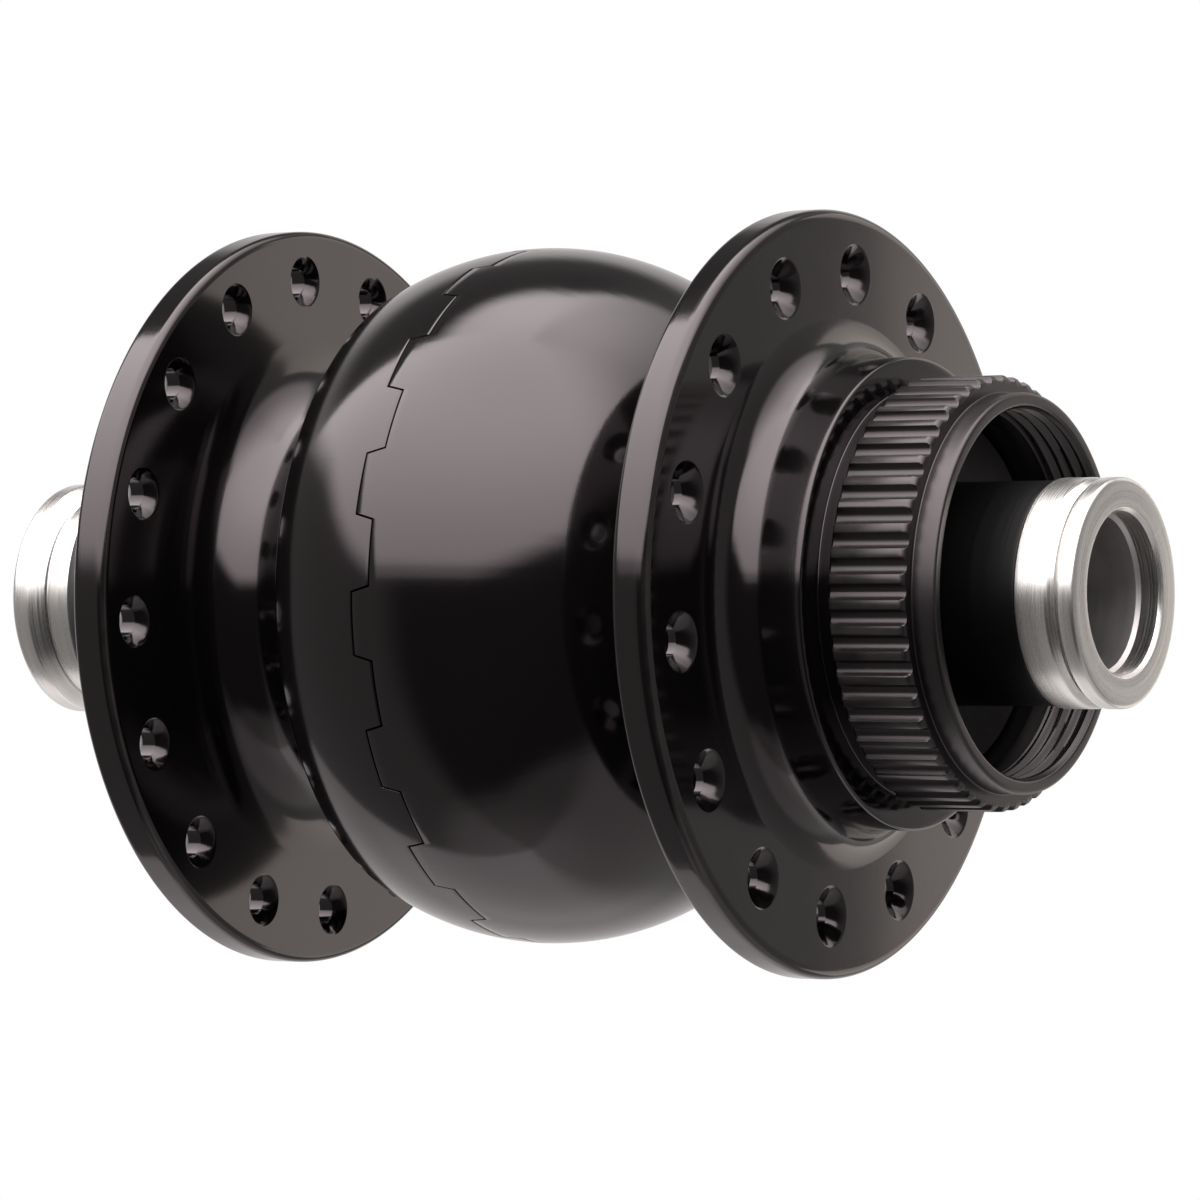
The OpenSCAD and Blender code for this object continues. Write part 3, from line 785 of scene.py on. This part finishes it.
def cap_right():
    r, y1 = RIGHT_CAP_R, CAP_END_Y
    return rounded([
        (AXLE_SEAT_R, RIGHT_CAP_Y0, 0), (r, RIGHT_CAP_Y0, 0.12), (r, 47.6, 0.5), (r - 0.38, 48.16, 0.06),
        (r - 0.95, 48.2, 0.02), (r - 0.95, 48.46, 0.02), (r, 48.56, 0.14), (r, y1, 0.42), (6.65, y1, 0.08),
        (CAP_BORE_R, y1 - 0.3, 0.06),
    ] + cap_inside(1), step=12)


def cap_left():
    r, y0 = LEFT_CAP_R, -CAP_END_Y
    return rounded([
        (AXLE_SEAT_R, LEFT_CAP_Y1, 0), (9.0, LEFT_CAP_Y1, 0.12), (9.0, -46.6, 0.08), (8.75, -46.9, 0.12),
        (9.0, -47.1, 0.3), (r, -48.3, 0.6), (r, y0, 0.38), (6.65, y0, 0.08),
        (CAP_BORE_R, y0 + 0.3, 0.06),
    ] + cap_inside(-1), step=12)


def sleeve(radius, y0, y1):
    corners = [(SLEEVE_BORE_R, y0, 0), (radius, y0, 0.15), (radius, y1, 0.2), (SLEEVE_BORE_R, y1, 0)]
    return rounded(corners, step=12)


place(smooth(turned("right_end_cap", cap_right())), "axle_unit", "cap_steel", "end_cap_right")
place(smooth(turned("left_end_cap", cap_left())), "axle_unit", "cap_steel", "end_cap_left")
sleeve_outline = sleeve(RIGHT_SLEEVE_R, low("sleeve_right", 1), high("sleeve_right", 1))
place(smooth(turned("right_sleeve", sleeve_outline)), "axle_unit", "black_sleeve", "sleeve_right")

# The collar, the connector and its two terminals, on the side of the hub away from the disc


def round_edges(work, bevel, segments):
    edges = list(work.edges)
    bmesh.ops.bevel(work, geom=edges, offset=bevel * MM, segments=segments, profile=0.5, affect="EDGES")


def box_piece(name, first, last, bevel, segments=4):
    """A closed box between two corners, its edges rounded."""
    mesh = bpy.data.meshes.new(name)
    work = bmesh.new()
    bmesh.ops.create_cube(work, size=1.0)
    for vertex in work.verts:
        for axis in range(3):
            vertex.co[axis] = (first[axis] if vertex.co[axis] < 0 else last[axis]) * MM
    round_edges(work, bevel, segments)
    work.to_mesh(mesh)
    work.free()
    piece = bpy.data.objects.new(name, mesh)
    bpy.context.scene.collection.objects.link(piece)
    return piece


def connector():
    """The moulded collar with the block that the terminals stand in, each in a shallow pocket."""
    collar = turned("connector", rounded([
        (COLLAR_BORE_R, COLLAR_Y0, 0.1), (COLLAR_R, COLLAR_Y0, 0.7),
        (COLLAR_R, COLLAR_Y1, 0.4), (COLLAR_BORE_R, COLLAR_Y1, 0.1),
    ], step=12), 160)
    inset, gap = 0.3, 0.05
    first = (BLOCK_X, COLLAR_Y0 + inset, -BLOCK_HALF)
    last = (-9.6, COLLAR_Y1 - inset, BLOCK_HALF)
    join_with(collar, box_piece("block", first, last, 0.8))
    for side in (-1, 1):
        z, half = side * TAB_Z, 1.1
        first = (BLOCK_X - 1, POCKET_Y0, z - half)
        last = (BLOCK_X + 0.6, POCKET_Y1, z + half)
        cut_with(collar, box_piece("pocket", first, last, 0.25, 2))
        half = TAB_T / 2 + gap
        first = (BLOCK_X - 1, TAB_Y0 - gap, z - half)
        last = (TAB_END_X + 0.25, TAB_Y1 + gap, z + half)
        cut_with(collar, box_piece("slot", first, last, 0.02, 1))
    collar.data.shade_smooth()
    return smooth(collar)


def terminal(side):
    """A spade terminal with a latch hole, chamfered at the tip like a standard blade."""
    y0, y1, half = TAB_Y0, TAB_Y1, TAB_T / 2
    thin = 0.22
    outline = [
        (TAB_END_X, y0, half), (TAB_X + 1.1, y0, half), (TAB_X, y0 + 0.9, thin),
        (TAB_X, y1 - 0.9, thin), (TAB_X + 1.1, y1, half), (TAB_END_X, y1, half),
    ]
    work = bmesh.new()
    lower = [work.verts.new((x * MM, y * MM, (side * TAB_Z - t) * MM)) for x, y, t in outline]
    upper = [work.verts.new((x * MM, y * MM, (side * TAB_Z + t) * MM)) for x, y, t in outline]
    count = len(outline)
    for i in range(count):
        j = (i + 1) % count
        work.faces.new((lower[i], lower[j], upper[j], upper[i]))
    for ring in (lower, upper):
        work.faces.new((ring[0], ring[1], ring[4], ring[5]))
        work.faces.new((ring[1], ring[2], ring[3], ring[4]))
    bmesh.ops.recalc_face_normals(work, faces=work.faces)
    round_edges(work, 0.07, 2)
    mesh = bpy.data.meshes.new("terminal")
    work.to_mesh(mesh)
    work.free()
    piece = bpy.data.objects.new("terminal_lower" if side < 0 else "terminal_upper", mesh)
    bpy.context.scene.collection.objects.link(piece)
    drill = bmesh.new()
    spot = Matrix.Translation(Vector((TAB_X + TAB_HOLE_X, (y0 + y1) / 2, side * TAB_Z)) * MM)
    wide = TAB_HOLE_R * MM
    bmesh.ops.create_cone(drill, cap_ends=True, segments=40, radius1=wide, radius2=wide,
                          depth=3 * MM, matrix=spot)
    hole = bpy.data.meshes.new("hole")
    drill.to_mesh(hole)
    drill.free()
    cutter = bpy.data.objects.new("hole", hole)
    bpy.context.scene.collection.objects.link(cutter)
    cut_with(piece, cutter)
    piece.data.shade_smooth()
    return smooth(piece)


place(connector(), "axle_unit", "black_plastic", "connector_block")
upper, lower = terminal(1), terminal(-1)
join_with(upper, lower)
upper.name = "terminals"
place(smooth(upper), "axle_unit", "tinned_brass", "terminal_tabs")

SLOT_BY_NODE = {
    "axle_steel": ["axle", "stator_key"],
    "black_rubber": ["end_cap_o_rings", "seam_o_ring", "dust_seal_left", "dust_seal_right",
                     "bearing_left_shields", "bearing_right_shields"],
    "black_sleeve": ["sleeve_left"],
    "copper_wire": ["lead_wires", "coil_winding"],
    "soft_iron": ["stator_core", "claw_plate_left", "claw_plate_right", "magnet_yoke"],
    "white_plastic": ["coil_bobbin"],
    "zinc_steel": ["stator_nut_left", "stator_nut_right"],
    "bearing_steel": ["bearing_left_inner_race", "bearing_right_inner_race", "bearing_left_outer_race",
                      "bearing_right_outer_race", "bearing_left_balls", "bearing_right_balls"],
    "cage_polymer": ["bearing_left_cage", "bearing_right_cage"],
    "magnet_nickel": ["magnets"],
    "spring_steel": ["circlip_left", "circlip_right"],
}
for slot, names in SLOT_BY_NODE.items():
    for node in names:
        for holder in NODES[node].material_slots:
            holder.material = MATERIALS[slot]


# ---------------------------------------------------------------- camera, light and floor


def flat_material(name, colour, strength):
    material = bpy.data.materials.new(name)
    material.use_nodes = True
    nodes, links = material.node_tree.nodes, material.node_tree.links
    nodes.clear()
    glow = nodes.new("ShaderNodeEmission")
    glow.inputs["Color"].default_value = (*colour, 1)
    glow.inputs["Strength"].default_value = strength
    links.new(glow.outputs[0], nodes.new("ShaderNodeOutputMaterial").inputs["Surface"])
    return material


def only_camera_sees(piece):
    piece.visible_diffuse = piece.visible_glossy = piece.visible_transmission = piece.visible_shadow = False


def camera():
    """The viewing angle of the photograph: from the disc side, 59 degrees round from the hub's axis."""
    azimuth, elevation, roll = math.radians(58.64), math.radians(-0.46), math.radians(0.04)
    distance, side, up_shift = 490.3, 2.04, -0.36
    level = math.cos(elevation)
    back = Vector((level * math.sin(azimuth), level * math.cos(azimuth), math.sin(elevation)))
    right = Vector((0, 0, 1)).cross(back).normalized()
    up = back.cross(right)
    across = math.cos(roll) * right + math.sin(roll) * up
    upward = math.cos(roll) * up - math.sin(roll) * right
    data = bpy.data.cameras.new("camera")
    data.sensor_width, data.lens = 36, 180.1
    data.clip_start, data.clip_end = 0.05, 20
    rig = bpy.data.objects.new("camera", data)
    bpy.context.scene.collection.objects.link(rig)
    spot = (across * side + upward * up_shift + back * distance) * MM
    turn = Matrix((across, upward, back)).transposed().to_4x4()
    rig.matrix_world = Matrix.Translation(spot) @ turn
    bpy.context.scene.camera = rig


def soft_card(name, spot, target, width, height, brightness, colour):
    """An evenly lit rectangle that faces a target. Sizes in mm, brightness as seen in a mirror."""
    data = bpy.data.lights.new(name, "AREA")
    data.shape, data.size, data.size_y = "RECTANGLE", width * MM, height * MM
    data.energy = brightness * math.pi * data.size * data.size_y
    data.color = colour
    light = bpy.data.objects.new(name, data)
    bpy.context.scene.collection.objects.link(light)
    light.location = Vector(spot) * MM
    light.rotation_mode = "QUATERNION"
    light.rotation_quaternion = (Vector(spot) - Vector(target)).to_track_quat("Z", "Y")
    light.visible_camera = False
    return light


def dome():
    mesh = bpy.data.meshes.new("backdrop")
    work = bmesh.new()
    bmesh.ops.create_uvsphere(work, u_segments=64, v_segments=32, radius=3.5)
    for face in work.faces:
        face.normal_flip()
    work.to_mesh(mesh)
    work.free()
    backdrop = bpy.data.objects.new("backdrop", mesh)
    bpy.context.scene.collection.objects.link(backdrop)
    mesh.materials.append(flat_material("white_backdrop", (1, 1, 1), 1.0))
    only_camera_sees(backdrop)


def floor():
    mesh = bpy.data.meshes.new("floor")
    side = 2.4
    level = cad_box[0].z - 0.004
    corners = [(-side, -side), (side, -side), (side, side), (-side, side)]
    mesh.from_pydata([(x, y, level) for x, y in corners], [], [(0, 1, 2, 3)])
    ground = bpy.data.objects.new("floor", mesh)
    bpy.context.scene.collection.objects.link(ground)
    mesh.materials.append(flat_material("white_floor", (1, 1, 1), 1.0))
    only_camera_sees(ground)


class Tent:
    """The light tent round the hub, as brightness against direction. Angles are in degrees."""

    def __init__(self):
        world = bpy.data.worlds.new("studio")
        world.use_nodes = True
        self.nodes, self.links = world.node_tree.nodes, world.node_tree.links
        self.background = self.nodes["Background"]
        self.background.inputs["Color"].default_value = (1.0, 0.955, 0.95, 1)
        split = self.nodes.new("ShaderNodeSeparateXYZ")
        self.links.new(self.nodes.new("ShaderNodeTexCoord").outputs["Generated"], split.inputs[0])
        x, y, z = split.outputs
        self.azimuth = self.math("MULTIPLY", self.math("ARCTAN2", x, y), 180 / math.pi)
        self.elevation = self.math("MULTIPLY", self.math("ARCSINE", z), 180 / math.pi)
        bpy.context.scene.world = world

    def math(self, operation, a, b=0.0):
        node = self.nodes.new("ShaderNodeMath")
        node.operation = operation
        self.feed(node.inputs[0], a)
        self.feed(node.inputs[1], b)
        return node.outputs[0]

    def feed(self, socket, value):
        if isinstance(value, (int, float)):
            socket.default_value = value
        else:
            self.links.new(value, socket)

    def step(self, value, start, stop, before, after):
        """Goes smoothly from one level to the other as value passes from start to stop."""
        node = self.nodes.new("ShaderNodeMapRange")
        node.interpolation_type = "SMOOTHSTEP"
        self.links.new(value, node.inputs["Value"])
        for socket, level in zip(node.inputs[1:5], (start, stop, before, after)):
            self.feed(socket, level)
        return node.outputs[0]

    def add(self, *values):
        total = values[0]
        for value in values[1:]:
            total = self.math("ADD", total, value)
        return total

    def mix(self, first, second, share):
        rest = self.math("MULTIPLY", first, self.math("SUBTRACT", 1.0, share))
        return self.math("ADD", rest, self.math("MULTIPLY", second, share))

    def light(self):
        az, el = self.azimuth, self.elevation
        # The tent's lower edge, which the barrel mirrors as the bottom of its highlight
        edge = self.add(self.step(az, 6, 30, 41, 17), self.step(az, 28, 80, 0, -10),
                        self.step(az, 118, 165, 0, 20), self.step(az, -110, -70, 22, 0))
        front_top = self.step(el, 5, 62, 2.7, 4.8)
        side_top = self.step(el, 42, 82, 1.3, 3.9)
        share = self.step(az, -30, 30, 0, 1)
        behind_share = self.step(az, -110, -80, 1, 0)
        bright = self.add(self.mix(side_top, front_top, share), self.math("MULTIPLY", behind_share, 0.9))
        # Below it: a dark front, grey cards to the right and left, the white backdrop behind, and the table
        front = self.step(az, 8, 30, 0.3, 0.055)
        right = self.step(az, 104, 122, 0, 0.2)
        low_part = self.step(el, 26, 38, 0.5, 0)
        backdrop = self.math("MULTIPLY", behind_share, low_part)
        shade = self.math("MULTIPLY", behind_share, self.step(el, 26, 38, 0, -0.16))
        table_edge = self.step(az, 5, 85, -43, -66)
        table_top, table_bottom = self.math("ADD", table_edge, 5), self.math("SUBTRACT", table_edge, 6)
        table = self.step(el, table_top, table_bottom, 0, 0.24)
        deep = self.step(el, -66, -88, 0, 0.17)
        dim = self.add(front, right, backdrop, shade, table, deep)
        inside = self.step(el, self.math("SUBTRACT", edge, 4), self.math("ADD", edge, 5), 0, 1)
        total = self.mix(dim, bright, inside)
        self.links.new(total, self.background.inputs["Strength"])


camera()
dome()
floor()
Tent().light()
bpy.context.scene.view_settings.view_transform = "Standard"
warm_white = (1.0, 0.93, 0.84)
soft_card("left_flange_card", (-203, 84, 0), (10, -26, 0), 84, 330, 0.95, warm_white)
